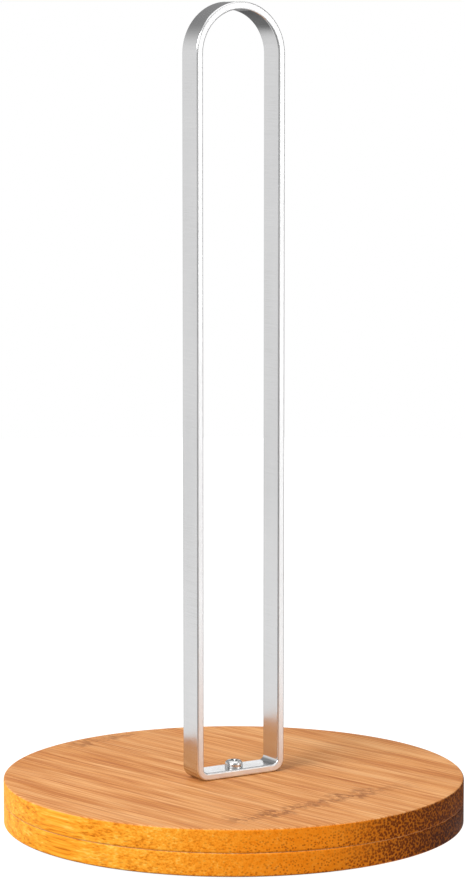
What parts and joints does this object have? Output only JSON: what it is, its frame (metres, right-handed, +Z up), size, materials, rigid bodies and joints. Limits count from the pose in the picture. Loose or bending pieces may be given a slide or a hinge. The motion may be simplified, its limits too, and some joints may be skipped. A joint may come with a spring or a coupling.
{
  "type": "paper towel holder",
  "caption": "Free-standing paper towel holder: a tall closed loop of satin metal bar held by one screw on a round two-ply bamboo base.",
  "frame": {"origin": "middle of the surface that the holder stands on, under the middle of the round base", "axes": "+Z up along the clamp screw, X along the loop's width, Y through the loop's opening along the bar's depth"},
  "size_m": [0.18, 0.18, 0.3195],
  "materials": {
    "bamboo_top": "satin",
    "bamboo_bottom": "satin",
    "satin_metal": "satin",
    "screw_metal": "polished",
    "insert_brass": "satin",
    "pad_rubber": "matte"
  },
  "bodies": {
    "base": {"base_top_ply": "bamboo_top", "base_bottom_ply": "bamboo_bottom", "threaded_insert": "insert_brass", "clamp_screw": "screw_metal", "foot_pad_front_left": "pad_rubber", "foot_pad_front_right": "pad_rubber", "foot_pad_rear_left": "pad_rubber", "foot_pad_rear_right": "pad_rubber"},
    "upright": {"upright_loop": "satin_metal"}
  },
  "joints": [
    {"name": "upright_swivel", "type": "hinge", "parent": "base", "child": "upright", "pos_m": [0, 0, 0.0195], "axis": [0, 0, 1], "continuous": true}
  ]
}
